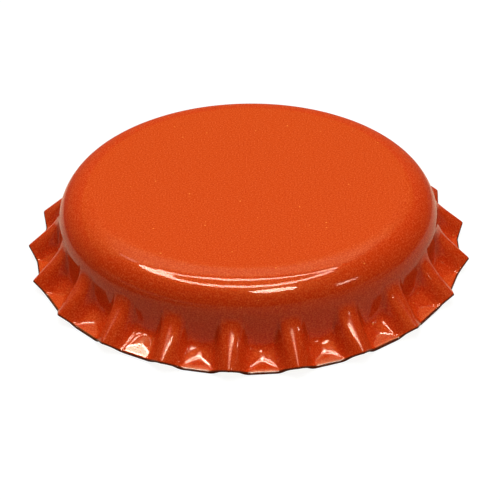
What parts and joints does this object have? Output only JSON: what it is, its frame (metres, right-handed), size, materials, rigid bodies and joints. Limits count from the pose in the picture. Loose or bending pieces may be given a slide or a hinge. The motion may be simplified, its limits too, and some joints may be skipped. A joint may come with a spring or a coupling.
{
  "type": "crown bottle cap",
  "caption": "Round pressed steel crown cap for a glass bottle, with a flat panel, rounded corner, fluted skirt and a moulded sealing liner inside.",
  "frame": {"origin": "on the cap's axis, in the plane that the skirt stands on", "axes": "+Z along the cap's axis, from the open skirt up to the closed panel; the first skirt ridge lies 8.3 degrees from +X towards +Y"},
  "size_m": [0.0319, 0.032, 0.006],
  "materials": {
    "lacquered_steel": "gloss orange lacquer with fine pearl flakes",
    "liner": "soft off-white moulded polyethylene"
  },
  "bodies": {
    "root": {"crown_shell": "lacquered_steel", "sealing_liner": "liner"}
  },
  "joints": []
}
